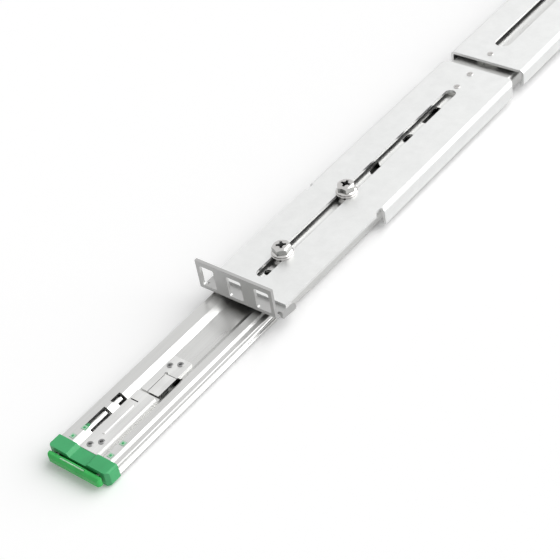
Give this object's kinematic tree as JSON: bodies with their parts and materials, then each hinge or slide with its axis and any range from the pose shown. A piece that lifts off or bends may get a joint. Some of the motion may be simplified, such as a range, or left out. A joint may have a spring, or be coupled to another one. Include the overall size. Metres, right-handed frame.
{
  "type": "sliding server rail",
  "caption": "Telescopic ball-bearing server rack rail: slotted front and rear brackets with square-hole flanges, sliding members with latch leaf, green end cap and bumper.",
  "frame": {"origin": "bottom centre of the whole rail at rest, on the level of the chassis face", "axes": "+Y along the rail to the back of the rack, +X to the right seen from the front, +Z away from the chassis face"},
  "size_m": [0.0444, 0.7504, 0.0278],
  "materials": {
    "zinc_steel": "satin",
    "slide_steel": "satin",
    "spring_steel": "satin",
    "screw_steel": "polished",
    "ball_steel": "polished",
    "retainer_steel": "satin",
    "cap_green": "satin",
    "bumper_green": "satin",
    "glide_plastic": "matte",
    "stop_rubber": "matte"
  },
  "bodies": {
    "root": {"outer_member": "slide_steel", "outer_stop": "stop_rubber", "front_clinch_nuts": "screw_steel", "front_washers": "screw_steel", "front_clamp_screws": "screw_steel", "rear_clinch_nuts": "screw_steel", "rear_washers": "screw_steel", "rear_clamp_screws": "screw_steel"},
    "front_bracket": {"front_flange": "zinc_steel", "front_channel": "zinc_steel", "front_guide_rivets": "screw_steel", "front_glides": "glide_plastic"},
    "rear_bracket": {"rear_flange": "zinc_steel", "rear_channel": "zinc_steel", "rear_guide_rivets": "screw_steel", "rear_glides": "glide_plastic"},
    "outer_retainers": {"outer_retainer_left": "retainer_steel", "outer_retainer_right": "retainer_steel", "outer_balls_left": "ball_steel", "outer_balls_right": "ball_steel"},
    "middle_slide_body": {"middle_member": "slide_steel", "middle_stop": "stop_rubber", "end_cap": "cap_green", "lock_plate": "spring_steel", "lock_plate_rivets": "screw_steel", "latch_plate": "spring_steel", "latch_plate_rivets": "screw_steel"},
    "latch_leaf_body": {"latch_leaf": "spring_steel"},
    "inner_retainers": {"inner_retainer_left": "retainer_steel", "inner_retainer_right": "retainer_steel", "inner_balls_left": "ball_steel", "inner_balls_right": "ball_steel"},
    "inner_slide_body": {"inner_member": "slide_steel", "inner_bumper": "bumper_green", "inner_catch": "slide_steel"}
  },
  "joints": [
    {"name": "front_bracket_adjust", "type": "slide", "parent": "root", "child": "front_bracket", "axis": [0, -1, 0], "range_m": [-0.0035, 0.085]},
    {"name": "rear_bracket_adjust", "type": "slide", "parent": "root", "child": "rear_bracket", "axis": [0, 1, 0], "range_m": [-0.0035, 0.068]},
    {"name": "middle_slide", "type": "slide", "parent": "root", "child": "middle_slide_body", "axis": [0, -1, 0], "range_m": [-0.112, 0.25]},
    {"name": "outer_retainer_roll", "type": "slide", "parent": "root", "child": "outer_retainers", "axis": [0, -1, 0], "range_m": [-0.056, 0.125]},
    {"name": "inner_slide", "type": "slide", "parent": "middle_slide_body", "child": "inner_slide_body", "axis": [0, -1, 0], "range_m": [0, 0.38]},
    {"name": "inner_retainer_roll", "type": "slide", "parent": "middle_slide_body", "child": "inner_retainers", "axis": [0, -1, 0], "range_m": [0, 0.19]},
    {"name": "latch_leaf_flex", "type": "hinge", "parent": "middle_slide_body", "child": "latch_leaf_body", "pos_m": [0.00045, -0.3131, 0.0064], "axis": [1, 0, 0], "range_deg": [0, 5], "stiffness_Nm_per_rad": 0.005, "springref_deg": -1.15}
  ],
  "couplings": [
    {"joint": "outer_retainer_roll", "follows": "middle_slide", "ratio": 0.5},
    {"joint": "inner_retainer_roll", "follows": "inner_slide", "ratio": 0.5}
  ]
}
